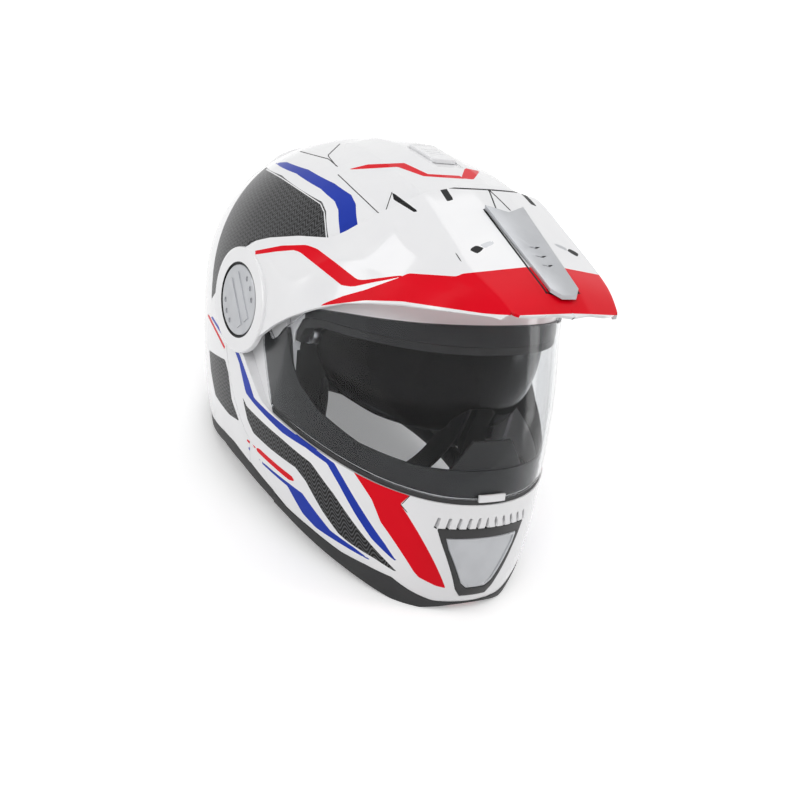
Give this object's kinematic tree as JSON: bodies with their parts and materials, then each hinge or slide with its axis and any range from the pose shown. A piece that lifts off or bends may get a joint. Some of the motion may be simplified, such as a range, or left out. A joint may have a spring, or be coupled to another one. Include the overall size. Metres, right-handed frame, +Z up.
{
  "type": "dual sport helmet",
  "caption": "Full-face dual sport helmet with a flip-up chin bar, sun peak, clear face shield and drop-down inner sun lens, set on its lower rim.",
  "frame": {"origin": "middle of the bounding box on the floor under the lower rim", "axes": "+X wearer's left, -Y the way the face looks, +Z up; the helmet leans on its rim, chin raised 12.5 degrees"},
  "size_m": [0.2404, 0.3804, 0.2683],
  "materials": {
    "white_shell": "glossy lacquer",
    "clear_shield": "clear polycarbonate, lightly smoked",
    "smoke_lens": "smoked polycarbonate",
    "silver_plastic": "satin silver",
    "silver_metal": "satin",
    "steel": "plain",
    "black_plastic": "fine grain",
    "black_rubber": "matt",
    "red_plastic": "plain",
    "white_plastic": "glossy",
    "foam_black": "beaded foam, black",
    "dark_cloth": "brushed knit",
    "black_webbing": "woven"
  },
  "bodies": {
    "shell": {"outer_shell": "white_shell", "eps_liner": "foam_black", "crown_housing": "white_shell", "rear_exhaust": "white_shell", "shell_trim": "black_rubber", "brow_gasket": "black_rubber", "crown_pad": "dark_cloth", "cheek_pad_left": "dark_cloth", "cheek_pad_right": "dark_cloth", "neck_roll": "dark_cloth", "pivot_pin_left": "steel", "pivot_pin_right": "steel", "strike_pin_left": "steel", "strike_pin_right": "steel", "visor_pin_left": "steel", "visor_pin_right": "steel", "strap_long": "black_webbing", "strap_short": "black_webbing", "strap_anchor_left": "steel", "strap_anchor_right": "steel", "buckle_body": "black_plastic"},
    "chin_bar": {"chin_bar": "white_shell", "chin_trim": "black_rubber", "chin_vent_frame": "black_plastic", "chin_vent_mesh": "black_plastic", "breath_guard": "black_rubber", "chin_pad_left": "dark_cloth", "chin_pad_right": "dark_cloth", "chin_curtain": "dark_cloth", "shield_seal": "black_rubber", "latch_hook_left": "steel", "latch_hook_right": "steel"},
    "face_shield": {"face_shield": "clear_shield", "shield_tab": "silver_plastic"},
    "peak": {"peak": "white_shell", "peak_strip": "silver_metal"},
    "pivot_cover_left": {"pivot_cover_left": "silver_plastic"},
    "pivot_cover_right": {"pivot_cover_right": "silver_plastic"},
    "sun_visor": {"sun_visor": "smoke_lens"},
    "visor_lever": {"visor_lever": "black_plastic"},
    "top_vent_slider": {"top_vent_slider": "white_plastic"},
    "chin_vent_cover": {"chin_vent_cover": "silver_plastic"},
    "release_button": {"release_button": "red_plastic"},
    "buckle_lever": {"buckle_lever": "red_plastic"}
  },
  "joints": [
    {"name": "chin_bar_hinge", "type": "hinge", "parent": "shell", "child": "chin_bar", "pos_m": [0, 0.01276, 0.13858], "axis": [-1, 0, 0], "range_deg": [0, 75]},
    {"name": "peak_hinge", "type": "hinge", "parent": "shell", "child": "peak", "pos_m": [0, 0.01276, 0.13858], "axis": [-1, 0, 0], "range_deg": [0, 75]},
    {"name": "shield_hinge", "type": "hinge", "parent": "chin_bar", "child": "face_shield", "pos_m": [0, 0.01276, 0.13858], "axis": [-1, 0, 0], "range_deg": [0, 22]},
    {"name": "cover_left_turn", "type": "hinge", "parent": "peak", "child": "pivot_cover_left", "pos_m": [0.117, 0.01276, 0.13858], "axis": [1, 0, 0], "range_deg": [-90, 0]},
    {"name": "cover_right_turn", "type": "hinge", "parent": "peak", "child": "pivot_cover_right", "pos_m": [-0.117, 0.01276, 0.13858], "axis": [-1, 0, 0], "range_deg": [-90, 0]},
    {"name": "sun_visor_hinge", "type": "hinge", "parent": "shell", "child": "sun_visor", "pos_m": [0, -0.04908, 0.14613], "axis": [-1, 0, 0], "range_deg": [0, 46]},
    {"name": "visor_lever_slide", "type": "slide", "parent": "shell", "child": "visor_lever", "axis": [0, 1, 0], "range_m": [0, 0.012]},
    {"name": "top_vent_slide", "type": "slide", "parent": "shell", "child": "top_vent_slider", "axis": [0, -0.9981, 0.0609], "range_m": [0, 0.008]},
    {"name": "chin_vent_hinge", "type": "hinge", "parent": "chin_bar", "child": "chin_vent_cover", "pos_m": [0, -0.18824, 0.02188], "axis": [1, 0, 0], "range_deg": [0, 10]},
    {"name": "release_button_slide", "type": "slide", "parent": "chin_bar", "child": "release_button", "axis": [0, 0.2163, 0.9763], "range_m": [0, 0.0025], "stiffness_N_per_m": 300},
    {"name": "buckle_lever_hinge", "type": "hinge", "parent": "shell", "child": "buckle_lever", "pos_m": [-0.02558, -0.05346, 0.01533], "axis": [0, 0.9763, -0.2163], "range_deg": [0, 40]}
  ],
  "couplings": [
    {"joint": "peak_hinge", "follows": "chin_bar_hinge", "ratio": 1},
    {"joint": "visor_lever_slide", "follows": "sun_visor_hinge", "m_per_rad": 0.014947}
  ]
}
